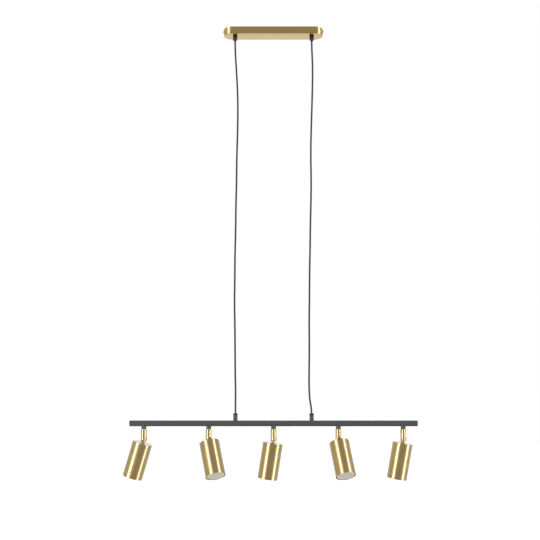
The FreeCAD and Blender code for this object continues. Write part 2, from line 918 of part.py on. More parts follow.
def make_stem_grips():
    """Collars that clamp the cords: a ring on the stem's top and a spigot in its bore."""
    spigot_radius = size("collar_spigot_radius")
    radius = size("collar_radius")
    edge = size("collar_edge")
    top = size("collar_height") + seat_gap
    profile = (
        (grip_bore, -size("collar_spigot")),
        (spigot_radius, -size("collar_spigot")),
        (spigot_radius, seat_gap),
        (radius, seat_gap),
        (radius, top - edge),
        (radius - edge, top),
        (grip_bore, top),
    )
    collars = []
    for side in SIDES:
        collar = turned("stem_cord_grip", profile)
        height = size("cord_stem_rise") - bar_drop
        collars.append(place(collar, x=cord_stem_x(side), z=height.number))
    return group("stem_cord_grips", collars)


def make_nipples():
    """Hollow flanged nipples: the shank is fixed in the stem and the flange carries the sleeve."""
    flange_top = sleeve_ceiling - seat_gap
    shank_top = -size("head_stem_drop") + size("nipple_reach")
    flange_foot = flange_top - size("nipple_flange")
    profile = (
        (size("nipple_bore"), flange_foot),
        (size("nipple_flange_radius"), flange_foot),
        (size("nipple_flange_radius"), flange_top),
        (size("nipple_radius"), flange_top),
        (size("nipple_radius"), shank_top),
        (size("nipple_bore"), shank_top),
    )
    nipples = []
    for number in HEADS:
        nipple = turned("swivel_nipple", profile)
        nipples.append(place(nipple, x=head_x(number), z=-bar_drop.number))
    return group("swivel_nipples", nipples)


def make_bar_wiring():
    """Two conductors side by side along the bar, each with a riser to both cords and a drop to each head."""
    radius = size("conductor_radius")
    span_end = head_x(HEAD_COUNT)
    riser = size("cord_stem_rise") - size("collar_spigot") - seat_gap
    drop = size("head_stem_drop") + size("nipple_flange")
    conductors = []
    for side in SIDES:
        y = side * size("conductor_gap").number / 2
        sideways = FreeCAD.Vector(0, y, 0)
        run_placement = along_bar(-span_end)
        run_placement.Base += sideways
        run_length = (HEAD_COUNT - 1) * head_pitch()
        pieces = [cylinder("bar_run", radius, run_length, run_placement)]
        for stem_side in SIDES:
            spot = at_bar(cord_stem_x(stem_side), 0)
            spot.Base += sideways
            pieces.append(cylinder("riser", radius, riser, spot))
        for number in HEADS:
            spot = at_bar(head_x(number), -drop.number)
            spot.Base += sideways
            pieces.append(cylinder("head_drop", radius, drop, spot))
        conductors.append(fused("conductor", pieces))
    return group("bar_wiring", conductors)


# ---------------------------------------------------------------- heads


def turned_place(number):
    """Where a head turns: on its stem's axis at the bar, turned to its rest pose."""
    spot = FreeCAD.Vector(head_x(number), 0, -bar_drop.number)
    return FreeCAD.Placement(spot, FreeCAD.Rotation(UP, size(f"turn_{number}").number))


def tilted_place(number):
    """Where a head tilts: at its pin, with the shade's axis tilted towards the head's own +X."""
    pivot = FreeCAD.Vector(0, 0, pivot_height.number)
    tilt = FreeCAD.Rotation(BACK, -size(f"tilt_{number}").number)
    return turned_place(number).multiply(FreeCAD.Placement(pivot, tilt))


def make_sleeve(number):
    """A turned sleeve: a top wall that hangs on the nipple and two cheeks that hold the tilt pin."""
    radius = size("sleeve_radius")
    bore = size("sleeve_bore")
    body = turned(
        f"swivel_sleeve_{number}",
        (
            (size("nipple_radius") + turning_fit, sleeve_top),
            (radius - size("sleeve_shoulder"), sleeve_top),
            (radius, sleeve_top - size("sleeve_shoulder_height")),
            (radius, sleeve_end + size("sleeve_end_taper")),
            (size("sleeve_end_radius"), sleeve_end),
            (bore, sleeve_end),
            (bore, sleeve_ceiling),
            (size("nipple_radius") + turning_fit, sleeve_ceiling),
        ),
    )
    slot_half = size("tongue_thickness") / 2 + size("slot_fit")
    slot_top = pivot_height + size("tongue_half_width") + turning_gap
    slot = new_sketch(body, "YZ_Plane")
    rectangle(slot, -slot_half, slot_half, sleeve_end - OVERRUN, slot_top)
    pocket(body, slot)
    pin_hole = new_sketch(body, "XZ_Plane")
    circle(pin_hole, ZERO, pivot_height, size("pin_radius") + turning_fit / 2)
    pocket(body, pin_hole)
    body.Placement = turned_place(number)
    return body


def make_pin(number):
    """A cross pin as long as the sleeve is wide where the pin's edge comes out."""
    radius = size("pin_radius")
    sleeve_radius = size("sleeve_radius")
    body = new_body(f"tilt_pin_{number}")
    section = new_sketch(body, "XZ_Plane", ZERO)
    circle(section, ZERO, ZERO, radius)
    pad(body, section, root(sleeve_radius * sleeve_radius - radius * radius) * 2, both_ways=True)
    pivot = FreeCAD.Vector(0, 0, pivot_height.number)
    body.Placement = turned_place(number).multiply(FreeCAD.Placement(pivot, FreeCAD.Rotation()))
    return body


def make_tongue(number):
    """The tilt knuckle's inner half: a cross barrel on the pin, a flat tongue, a round foot and a stud."""
    foot_top = foot_face + size("foot_thickness")
    stud_end = foot_face - size("stud_length")
    wire_bore = size("wire_bore")
    wire_exit = -size("wire_exit_drop")
    body = turned(
        f"tilt_tongue_{number}",
        (
            (ZERO, foot_top),
            (size("foot_radius"), foot_top),
            (size("foot_radius"), foot_face),
            (size("stud_radius"), foot_face),
            (size("stud_radius"), stud_end),
            (ZERO, stud_end),
        ),
    )
    blade = new_sketch(body, "XZ_Plane")
    round_ended(blade, size("tongue_half_width"), foot_top - size("foot_thickness") / 2)
    pad(body, blade, size("tongue_thickness"), both_ways=True)
    barrel = new_sketch(body, "XZ_Plane")
    circle(barrel, ZERO, ZERO, size("barrel_radius"))
    pad(body, barrel, size("barrel_length"), both_ways=True)
    cross_holes = new_sketch(body, "XZ_Plane")
    circle(cross_holes, ZERO, ZERO, size("pin_radius") + turning_fit)
    circle(cross_holes, ZERO, wire_exit, size("wire_exit_radius"))
    pocket(body, cross_holes)
    wire_way = new_sketch(body, "XY_Plane", stud_end)
    circle(wire_way, ZERO, ZERO, wire_bore)
    pocket(body, wire_way, wire_exit - stud_end, upwards=True)
    body.Placement = tilted_place(number)
    return body


def make_shade(number):
    """A plain cylinder with a closed top, drawn from sheet, with a hole for the tongue's stud."""
    radius = size("shade_radius")
    inner_radius = radius - size("shade_wall")
    hole_radius = size("stud_radius") + size("slot_fit")
    body = turned(
        f"shade_{number}",
        (
            (hole_radius, shade_outer_top),
            (radius, shade_outer_top),
            (radius, shade_mouth),
            (inner_radius, shade_mouth),
            (inner_radius, shade_inner_top),
            (hole_radius, shade_inner_top),
        ),
    )
    round_rim(body, size("shade_edge"), shade_outer_top, inner_radius)
    body.Placement = tilted_place(number)
    return body


def make_shade_nut(number):
    hole_radius = size("stud_radius") + push_fit
    height = size("shade_nut_height")
    body = hexagon_nut(f"shade_nut_{number}", size("shade_nut_across"), hole_radius, height)
    foot = FreeCAD.Vector(0, 0, (strap_underside - seat_gap - height).number)
    body.Placement = tilted_place(number).multiply(FreeCAD.Placement(foot, FreeCAD.Rotation()))
    return body


def make_holder_bracket(number):
    """A U strap: its web is clamped under the shade's top and its legs clip over the lampholder's pips."""
    thickness = size("strap_thickness")
    inner = size("holder_width") / 2 + seat_gap
    outer = inner + thickness
    leg_end = holder_top - size("strap_overlap")
    body = new_body(f"holder_bracket_{number}")
    profile = new_sketch(body, "YZ_Plane")
    polygon(
        profile,
        (
            (-outer, leg_end),
            (-outer, strap_face),
            (outer, strap_face),
            (outer, leg_end),
            (inner, leg_end),
            (inner, strap_underside),
            (-inner, strap_underside),
            (-inner, leg_end),
        ),
    )
    pad(body, profile, size("strap_width"), both_ways=True)
    bend = size("strap_bend")
    fillet(body, bend, lambda box: flat_at(box, strap_underside) and box.YLength < NEAR)
    fillet(body, bend + thickness, lambda box: flat_at(box, strap_face) and box.YLength < NEAR)
    stud_hole = new_sketch(body, "XY_Plane")
    circle(stud_hole, ZERO, ZERO, size("stud_radius") + size("slot_fit"))
    pocket(body, stud_hole)
    pip_holes = new_sketch(body, "XZ_Plane")
    circle(pip_holes, ZERO, holder_top - size("pip_drop"), size("pip_radius") + size("slot_fit"))
    pocket(body, pip_holes)
    body.Placement = tilted_place(number)
    return body


def make_lampholder(number):
    """A moulded lampholder with two blind sockets for the bulb's pins and a pip on each flat side."""
    end_radius = size("holder_width") / 2
    half_span = size("holder_length") / 2 - end_radius
    body = new_body(f"lampholder_{number}")
    block = new_sketch(body, "XY_Plane", holder_face)
    stadium(block, half_span, end_radius)
    pad(body, block, size("holder_height"))
    pips = new_sketch(body, "XZ_Plane")
    circle(pips, ZERO, holder_top - size("pip_drop"), size("pip_radius"))
    pad(body, pips, (end_radius + size("pip_height")) * 2, both_ways=True)
    sockets = new_sketch(body, "XY_Plane", holder_face)
    for side in SIDES:
        circle(sockets, side * size("contact_pin_pitch") / 2, ZERO, size("pin_slot_radius"))
    pocket(body, sockets, size("pin_slot_depth"), upwards=True)
    body.Placement = tilted_place(number)
    return body


def make_bulb(number):
    """A reflector bulb: a bezel round the lens, a reflector that narrows to the base, and two headed pins."""
    cup_bottom = bulb_face + size("lens_inset") + size("lens_thickness") + seat_gap
    body = turned(
        f"bulb_{number}",
        (
            (ZERO, cup_bottom),
            (size("lens_radius") + size("slot_fit"), cup_bottom),
            (size("lens_radius") + size("slot_fit"), bulb_face),
            (size("bulb_radius"), bulb_face),
            (size("bulb_radius"), bulb_face + size("bulb_rim")),
            (size("bulb_cup_radius"), bulb_face + size("bulb_cup_height")),
            (size("bulb_neck_radius"), bulb_neck),
            (size("bulb_base_radius"), bulb_neck),
            (size("bulb_base_radius"), bulb_base),
            (ZERO, bulb_base),
        ),
    )
    round_rim(body, size("bulb_rim_edge"), bulb_face, size("lens_radius"))
    pin_end = bulb_base + size("contact_pin_length")
    head_height = size("contact_head_height")
    stems = new_sketch(body, "XY_Plane", bulb_base)
    heads = new_sketch(body, "XY_Plane", pin_end - head_height)
    for side in SIDES:
        across = side * size("contact_pin_pitch") / 2
        circle(stems, across, ZERO, size("contact_pin_radius"))
        circle(heads, across, ZERO, size("contact_head_radius"))
    pad(body, stems, size("contact_pin_length"))
    pad(body, heads, head_height)
    body.Placement = tilted_place(number)
    return body


def make_bulb_lens(number):
    """The frosted disc in the bulb's mouth, a little behind its bezel."""
    front = bulb_face + size("lens_inset")
    body = new_body(f"bulb_lens_{number}")
    outline = new_sketch(body, "XY_Plane", front)
    circle(outline, ZERO, ZERO, size("lens_radius"))
    pad(body, outline, size("lens_thickness"))
    body.Placement = tilted_place(number)
    return body


def make_head(number):
    return [
        make_sleeve(number),
        make_pin(number),
        make_tongue(number),
        make_shade(number),
        make_shade_nut(number),
        make_holder_bracket(number),
        make_lampholder(number),
        make_bulb(number),
        make_bulb_lens(number),
    ]


# ---------------------------------------------------------------- the whole light

nodes = [
    make_canopy(),
    make_bracket(),
    make_side_screws(),
    make_canopy_grips(),
    make_grip_nuts(),
    make_terminal_block(),
    make_terminal_screws(),
    make_canopy_wiring(),
    make_cable("cable_left", CABLE_LEFT_ROUTE),
    make_cable("cable_right", CABLE_RIGHT_ROUTE),
    make_bar_frame(),
    make_end_caps(),
    make_stem_grips(),
    make_nipples(),
    make_bar_wiring(),
]
for number in HEADS:
    nodes += make_head(number)
doc.recompute()

for thing in doc.Objects:
    if "Invalid" in thing.State or "Error" in thing.State:
        raise ValueError(f"{thing.Label} failed: {thing.State}")
for node in nodes:
    if node.Shape.isNull() or not node.Shape.isValid() or not node.Shape.Solids:
        raise ValueError(f"{node.Label} has no valid solid")

os.makedirs("parts", exist_ok=True)
for node in nodes:
    node.Shape.exportStep(f"parts/{node.Label}.step")
print(len(nodes), "nodes")
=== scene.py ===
import json
import math

import bmesh
import bpy
import numpy as np
from mathutils import Euler, Matrix, Vector


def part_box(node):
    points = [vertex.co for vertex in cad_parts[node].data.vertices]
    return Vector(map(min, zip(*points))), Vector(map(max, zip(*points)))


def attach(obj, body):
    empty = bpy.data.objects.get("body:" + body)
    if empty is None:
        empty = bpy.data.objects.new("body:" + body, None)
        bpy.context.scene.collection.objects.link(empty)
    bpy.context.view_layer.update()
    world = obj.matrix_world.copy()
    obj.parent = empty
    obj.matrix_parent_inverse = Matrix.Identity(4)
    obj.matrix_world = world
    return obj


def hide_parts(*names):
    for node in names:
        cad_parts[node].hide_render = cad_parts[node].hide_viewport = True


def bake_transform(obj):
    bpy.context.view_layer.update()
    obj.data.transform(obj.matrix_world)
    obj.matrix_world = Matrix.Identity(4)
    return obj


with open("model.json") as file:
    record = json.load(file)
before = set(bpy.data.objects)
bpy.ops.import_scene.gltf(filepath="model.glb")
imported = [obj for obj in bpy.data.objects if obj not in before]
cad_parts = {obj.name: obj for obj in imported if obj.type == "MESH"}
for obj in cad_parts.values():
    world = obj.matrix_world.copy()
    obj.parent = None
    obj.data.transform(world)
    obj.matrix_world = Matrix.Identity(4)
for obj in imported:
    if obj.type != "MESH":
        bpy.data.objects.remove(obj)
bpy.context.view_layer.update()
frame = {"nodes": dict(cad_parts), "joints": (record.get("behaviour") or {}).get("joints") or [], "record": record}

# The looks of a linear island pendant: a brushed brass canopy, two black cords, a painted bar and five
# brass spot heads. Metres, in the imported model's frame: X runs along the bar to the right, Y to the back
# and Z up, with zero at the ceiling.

MM = 0.001
HEAD_COUNT = 5
HEADS = range(1, HEAD_COUNT + 1)  # from the left
JOINTS = {joint["name"]: joint for joint in frame["joints"]}
SLOT_OF = {part["node"]: part["material_slot"] for part in frame["record"]["subparts"]}
BODIES = frame["record"]["behaviour"]["bodies"]
BODY_OF = {node: body for body, nodes in BODIES.items() for node in nodes}
UP = Vector((0, 0, 1))


# ---------------------------------------------------------------- camera

PHOTO_SIDE = 540  # pixels, each way
SENSOR = 36.0  # millimetres, the sensor's width
FOCAL_PIXELS = 922.9
CAMERA_DISTANCE = 2.5813  # in front of the plane in which the bar hangs
CAMERA_OVER_BAR = 0.0374  # above the bar's axis
CAMERA_SIDE = -0.0098  # a little to the left of the light's middle
CAMERA_PITCH = 5.813  # degrees above the horizon
CAMERA_SHIFT = 0.085  # the photograph's optical centre lies this share of its side below its middle

end_cap_low, end_cap_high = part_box("end_caps")
bar_axis_height = (end_cap_low.z + end_cap_high.z) / 2

camera_data = bpy.data.cameras.new("photo_camera")
camera_data.sensor_width = SENSOR
camera_data.lens = SENSOR * FOCAL_PIXELS / PHOTO_SIDE
camera_data.shift_y = CAMERA_SHIFT
camera = bpy.data.objects.new("photo_camera", camera_data)
camera.location = (CAMERA_SIDE, -CAMERA_DISTANCE, bar_axis_height + CAMERA_OVER_BAR)
camera.rotation_euler = (math.radians(90 + CAMERA_PITCH), 0, 0)
bpy.context.scene.collection.objects.link(camera)
bpy.context.scene.camera = camera


# ---------------------------------------------------------------- surfaces

SAME_PLACE = 0.002 * MM  # points nearer to each other than this are one
SHARP_ANGLE = math.radians(28)  # an edge between faces at more than this stays sharp


def mesh_object(name, points, faces, corner_uvs=None):
    """An object at the origin from arrays of points and faces, shaded smooth. It can have a UV place for each
    corner of its faces."""
    mesh = bpy.data.meshes.new(name)
    mesh.from_pydata(points.tolist(), [], [list(face) for face in faces])
    mesh.shade_smooth()
    if corner_uvs is not None:
        layer = mesh.uv_layers.new(name="surface")
        layer.data.foreach_set("uv", corner_uvs.astype(np.float32).ravel())
    mesh.update()
    thing = bpy.data.objects.new(name, mesh)
    bpy.context.scene.collection.objects.link(thing)
    return thing


def grid_faces(rows, columns, rows_close):
    """Quads between neighbouring points of a grid. Its columns close on themselves, and its rows too if
    asked."""
    row = np.arange(rows if rows_close else rows - 1)
    column = np.arange(columns)
    row, column = (side.ravel() for side in np.meshgrid(row, column, indexing="ij"))
    next_row = (row + 1) % rows
    next_column = (column + 1) % columns
    return np.column_stack(
        (
            row * columns + column,
            row * columns + next_column,
            next_row * columns + next_column,
            next_row * columns + column,
        )
    )


def grid_uvs(rows, columns, rows_close, along, around):
    """The UV place of each corner of grid_faces. `along` has a value for each row, and `around` has one more
    than there are columns."""
    row = np.arange(rows if rows_close else rows - 1)
    column = np.arange(columns)
    row, column = (side.ravel() for side in np.meshgrid(row, column, indexing="ij"))
    corners = ((row, column), (row, column + 1), (row + 1, column + 1), (row + 1, column))
    return np.stack([np.column_stack((around[c], along[r])) for r, c in corners], axis=1)


def rounded_outline(corners, arc_steps=6, longest=4 * MM, support=0.12 * MM):
    """A closed outline through corners (across, up, radius). Each corner becomes an arc that touches both of
    its sides, reach = radius / tan(half the corner's angle), and each straight side gets points beside its
    ends and every few millimetres, so that the shading stays flat on it."""
    spots = [Vector(corner[:2]) for corner in corners]
    radii = [corner[2] for corner in corners]
    rounded = []
    for index, (spot, radius) in enumerate(zip(spots, radii)):
        back = (spots[index - 1] - spot).normalized()
        ahead = (spots[(index + 1) % len(spots)] - spot).normalized()
        half = back.angle(ahead) / 2
        reach = radius / math.tan(half)
        centre = spot + (back + ahead).normalized() * radius / math.sin(half)
        start = spot + back * reach - centre
        turn = math.pi - 2 * half
        if back.cross(ahead) > 0:
            turn = -turn
        angles = np.linspace(0, turn, arc_steps + 1 if radius else 1)
        sine, cosine = np.sin(angles), np.cos(angles)
        arc_x = centre.x + start.x * cosine - start.y * sine
        arc_y = centre.y + start.x * sine + start.y * cosine
        rounded.append(np.column_stack((arc_x, arc_y)))
    outline = []
    for arc, following in zip(rounded, rounded[1:] + rounded[:1]):
        start, end = arc[-1], following[0]
        length = np.linalg.norm(end - start)
        outline.append(arc)
        if length > 3 * support:
            count = max(2, math.ceil(length / longest))
            shares = np.linspace(support / length, 1 - support / length, count)[:, None]
            outline.append(start + (end - start) * shares)
    return np.concatenate(outline)


def turned_points(outline, segments):
    """An outline of (radius, height) turned about Z: x = r cos a, y = r sin a, z = height."""
    angles = np.linspace(0, 2 * math.pi, segments, endpoint=False)
    radius, height = outline[:, :1], outline[:, 1:]
    x = radius * np.cos(angles)
    y = radius * np.sin(angles)
    z = height + 0 * angles
    return np.stack((x, y, z), axis=-1)


def moved(points, matrix):
    """Points of any grid, taken by a 4x4 matrix and laid out as one row per point."""
    turn = np.array(matrix.to_3x3())
    return points.reshape(-1, 3) @ turn.T + np.array(matrix.translation)


def merge_points(mesh):
    """Joins the points of a mesh that lie in the same place, so that seams and poles are closed."""
    work = bmesh.new()
    work.from_mesh(mesh)
    bmesh.ops.remove_doubles(work, verts=work.verts, dist=SAME_PLACE)
    work.to_mesh(mesh)
    work.free()


def turned_object(name, outline, matrix, segments, hollow=True):
    """A closed solid of revolution, set in place by the matrix. The outline of a hollow one runs all the way
    round its wall, and that of a full one runs from pole to pole."""
    points = turned_points(outline, segments)
    rows = len(outline)
    faces = grid_faces(rows, segments, rows_close=hollow)
    steps = np.linalg.norm(np.diff(outline, axis=0, append=outline[:1]), axis=1)
    along = np.concatenate(([0.0], np.cumsum(steps)))
    around = np.linspace(0, 1, segments + 1) * 2 * math.pi * outline[:, 0].max()
    uvs = grid_uvs(rows, segments, hollow, along, around)
    thing = mesh_object(name, moved(points, matrix), faces, uvs)
    if not hollow:
        merge_points(thing.data)
    return thing


# ---------------------------------------------------------------- cords

# The same points as the cords' solids have, from inside the canopy's grips to inside the collars on the bar.
CORD_ROUTES = {
    "cable_left": (
        (-0.1110, 0.0, -0.0115),
        (-0.1110, 0.0, -0.0580),
        (-0.1070, 0.0009, -0.1180),
        (-0.1032, 0.0016, -0.1840),
        (-0.1020, 0.0011, -0.2500),
        (-0.1031, 0.0002, -0.3180),
        (-0.1049, -0.0007, -0.3860),
        (-0.1051, -0.0015, -0.4520),
        (-0.1069, -0.0008, -0.5220),
        (-0.1072, 0.0003, -0.5900),
        (-0.1090, 0.0009, -0.6600),
        (-0.1091, 0.0018, -0.7290),
        (-0.1100, 0.0007, -0.7980),
        (-0.1083, -0.0003, -0.8660),
        (-0.1075, -0.0012, -0.9300),
        (-0.1071, -0.0004, -0.9920),
        (-0.1056, 0.0003, -1.0460),
        (-0.1060, 0.0, -1.0840),
        (-0.1060, 0.0, -1.1190),
    ),
    "cable_right": (
        (0.1110, 0.0, -0.0115),
        (0.1110, 0.0, -0.0560),
        (0.1135, -0.0008, -0.1080),
        (0.1126, -0.0016, -0.1700),
        (0.1106, -0.0009, -0.2360),
        (0.1082, 0.0001, -0.3040),
        (0.1067, 0.0007, -0.3720),
        (0.1079, 0.0016, -0.4400),
        (0.1070, 0.0009, -0.5060),
        (0.1048, 0.0001, -0.5740),
        (0.1038, -0.0010, -0.6440),
        (0.1018, -0.0016, -0.7140),
        (0.1014, -0.0006, -0.7840),
        (0.1001, 0.0004, -0.8530),
        (0.1006, 0.0013, -0.9220),
        (0.0996, 0.0008, -0.9840),
        (0.0990, 0.0001, -1.0360),
        (0.1009, 0.0002, -1.0700),
        (0.1060, 0.0, -1.0960),
        (0.1060, 0.0, -1.1190),
    ),
}
CORD_DIAMETER = 5.0 * MM
CORD_SIDES = 20
CORD_STEPS = 10  # of the smooth line, from each point of the route to the next


def smooth_line(name, route):
    """The smooth line of a route: a NURBS spline of order 3 whose control points are the route's points."""
    curve = bpy.data.curves.new(name, "CURVE")
    curve.dimensions = "3D"
    spline = curve.splines.new("NURBS")
    spline.points.add(len(route) - 1)
    for point, spot in zip(spline.points, route):
        point.co = (*spot, 1.0)
    spline.order_u = 3
    spline.use_endpoint_u = True
    spline.resolution_u = CORD_STEPS
    thing = bpy.data.objects.new(name, curve)
    bpy.context.scene.collection.objects.link(thing)
    bpy.context.view_layer.update()
    line = bpy.data.meshes.new_from_object(thing)
    points = np.zeros(len(line.vertices) * 3)
    line.vertices.foreach_get("co", points)
    bpy.data.objects.remove(thing)
    bpy.data.meshes.remove(line)
    return points.reshape(-1, 3)


def tube_object(name, line, radius, sides):
    """A tube round a line that runs mostly downwards: ring = centre + radius (side cos a + front sin a),
    where side = tangent x Y and front = tangent x side. Its UV map has metres round it and along it."""
    tangent = np.gradient(line, axis=0)
    tangent /= np.linalg.norm(tangent, axis=1, keepdims=True)
    side = np.cross(tangent, (0.0, 1.0, 0.0))
    side /= np.linalg.norm(side, axis=1, keepdims=True)
    front = np.cross(tangent, side)
    angles = np.linspace(0, 2 * math.pi, sides, endpoint=False)[None, :, None]
    rings = line[:, None] + radius * (side[:, None] * np.cos(angles) + front[:, None] * np.sin(angles))
    rows = len(line)
    faces = grid_faces(rows, sides, rows_close=False)
    steps = np.linalg.norm(np.diff(line, axis=0), axis=1)
    along = np.concatenate(([0.0], np.cumsum(steps)))
    around = np.linspace(0, 1, sides + 1) * 2 * math.pi * radius
    uvs = grid_uvs(rows, sides, False, along, around).reshape(-1, 2)
    first_ring = np.arange(sides)
    caps = [first_ring[::-1].tolist(), (first_ring + (rows - 1) * sides).tolist()]
    cap_uvs = np.zeros((2 * sides, 2))
    all_uvs = np.concatenate((uvs, cap_uvs))
    return mesh_object(name, rings.reshape(-1, 3), faces.tolist() + caps, all_uvs)


cords = []
for node, route in CORD_ROUTES.items():
    line = smooth_line(f"{node}_line", route)
    cord = tube_object(f"{node}_sheath", line, CORD_DIAMETER / 2, CORD_SIDES)
    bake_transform(cord)
    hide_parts(node)
    cords.append(cord)


# ---------------------------------------------------------------- heads


def head_matrix(number):
    """Where a head's shade hangs at rest: at its tilt pin, turned and tilted. A joint's range is even about
    the straight head, so the middle of the range gives the rest angle."""
    turn_joint = JOINTS[f"head_{number}_turn"]
    tilt_joint = JOINTS[f"head_{number}_tilt"]
    turn = -sum(turn_joint["range_deg"]) / 2
    tilt = sum(tilt_joint["range_deg"]) / 2
    turned = Euler((0, 0, math.radians(turn))).to_matrix().to_4x4()
    tilted = Euler((0, math.radians(-tilt), 0)).to_matrix().to_4x4()
    return Matrix.Translation(Vector(tilt_joint["pos_m"])) @ turned @ tilted


def local_points(node, matrix):
    """A CAD node's points as (radius, height) about the matrix's own Z axis."""
    mesh = frame["nodes"][node].data
    points = np.zeros(len(mesh.vertices) * 3)
    mesh.vertices.foreach_get("co", points)
    points = moved(points, matrix.inverted())
    return np.hypot(points[:, 0], points[:, 1]), points[:, 2]


SHADE_SEGMENTS = 160
SHADE_WALL = 1.2 * MM
SHADE_TOP_WALL = 1.5 * MM
SHADE_TOP_ROUND = 0.9 * MM
SHADE_INNER_ROUND = 0.6 * MM
SHADE_MOUTH_ROUND = 0.45 * MM
LENS_SEGMENTS = 128
LENS_RINGS = 24
LENS_CROWN = 0.35 * MM  # how far the middle of its front stands out
LENS_EDGE = 0.5 * MM  # its chamfer


def make_shade(number):
    """A deep-drawn brass cylinder: flat top with a hole for the stud, straight side, softly rounded mouth."""
    node = f"shade_{number}"
    matrix = head_matrix(number)
    radii, heights = local_points(node, matrix)
    outer, hole = radii.max(), radii.min()
    top, mouth = heights.max(), heights.min()
    outline = rounded_outline(
        (
            (hole, top, 0.0),
            (hole, top - SHADE_TOP_WALL, 0.0),
            (outer - SHADE_WALL, top - SHADE_TOP_WALL, SHADE_INNER_ROUND),
            (outer - SHADE_WALL, mouth, SHADE_MOUTH_ROUND),
            (outer, mouth, SHADE_MOUTH_ROUND),
            (outer, top, SHADE_TOP_ROUND),
        )
    )
    shade = turned_object(f"{node}_drawn", outline, matrix, SHADE_SEGMENTS)
    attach(shade, f"head_{number}_shade")
    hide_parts(node)
    return shade


def make_lens(number):
    """The bulb's frosted cover: a disc with a chamfered edge and a slightly crowned front, whose height under
    its rim is crown (1 - (r / R)^2)."""
    node = f"bulb_lens_{number}"
    matrix = head_matrix(number)
    radii, heights = local_points(node, matrix)
    outer, back, front = radii.max(), heights.max(), heights.min()
    rim = outer - LENS_EDGE
    radius = np.linspace(0, rim, LENS_RINGS)
    face = np.column_stack((radius, front - LENS_CROWN * (1 - (radius / rim) ** 2)))
    edge = np.array([(outer, front + LENS_EDGE), (outer, back)])
    reverse = np.column_stack((np.linspace(outer, 0, LENS_RINGS)[1:], np.full(LENS_RINGS - 1, back)))
    outline = np.concatenate((face, edge, reverse))
    lens = turned_object(f"{node}_crowned", outline, matrix, LENS_SEGMENTS, hollow=False)
    lens.data.set_sharp_from_angle(angle=SHARP_ANGLE)
    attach(lens, f"head_{number}_shade")
    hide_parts(node)
    return lens


shades = {number: make_shade(number) for number in HEADS}
lenses = [make_lens(number) for number in HEADS]


# ---------------------------------------------------------------- turned and pressed parts

SHOWN_PARTS = ("canopy", "canopy_screws", "canopy_cord_grips", "bar_frame", "end_caps", "stem_cord_grips")
SHOWN_HEAD_PARTS = ("swivel_sleeve", "tilt_pin", "tilt_tongue", "bulb")
FINISHED_NODES = [*SHOWN_PARTS, *(f"{part}_{number}" for number in HEADS for part in SHOWN_HEAD_PARTS)]


def finished_copy(node):
    """A copy of a node's own mesh with its points joined, shaded smooth but for its sharp edges."""
    mesh = frame["nodes"][node].data.copy()
    mesh.name = f"{node}_finished"
    merge_points(mesh)
    mesh.shade_smooth()
    mesh.set_sharp_from_angle(angle=SHARP_ANGLE)
    copy = bpy.data.objects.new(f"{node}_finished", mesh)
    bpy.context.scene.collection.objects.link(copy)
    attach(copy, BODY_OF[node])
    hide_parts(node)
    return copy


finished = {node: finished_copy(node) for node in FINISHED_NODES}


# ---------------------------------------------------------------- materials


def linear(hex_colour):
    """An sRGB hex value as linear red, green, blue and a full alpha."""
    channels = [int(hex_colour[place : place + 2], 16) / 255 for place in (1, 3, 5)]
    return (*[c / 12.92 if c <= 0.04045 else ((c + 0.055) / 1.055) ** 2.4 for c in channels], 1.0)


def per_size(millimetres):
    """The scale of a noise whose features are that large, on coordinates in metres."""
    return 1 / (millimetres * MM)


def add(tree, kind, inputs=None, **settings):
    """A node with its settings. `inputs` maps a socket's name or number to a value or to another node's
    output."""
    node = tree.nodes.new(kind)
    for name, value in settings.items():
        setattr(node, name, value)
    for socket, value in (inputs or {}).items():
        if isinstance(value, bpy.types.NodeSocket):
            tree.links.new(value, node.inputs[socket])
        else:
            node.inputs[socket].default_value = value
    return node


def new_material(name):
    """A material and its node tree, which is still empty."""
    material = bpy.data.materials.new(name)
    material.use_nodes = True
    material.node_tree.nodes.clear()
    return material, material.node_tree


def finish_material(material, shader):
    """The material, once its surface is that shader's."""
    add(material.node_tree, "ShaderNodeOutputMaterial", {"Surface": shader.outputs[0]})
    return material


SHADE_TONES = ("#D0BA86", "#C5AE78")
CANOPY_TONES = ("#D5BD7F", "#CAB172")
CLOUD_SIZE = 35  # millimetres, of the slow changes in tone
SCRATCH_SHARE = 0.55  # how much the scratches add to the tone, where the clouds add 1
TONE_SPAN = (0.5, 1.05)  # that sum, where the tone is all deep and where it is all light
SCRATCH_SPAN = (0.3, 0.7)  # the scratches' noise, where the roughness is least and where it is most
BRUSHED_ROUGHNESS = (0.3, 0.34)
BRUSHED_DEPTH = 0.05 * MM


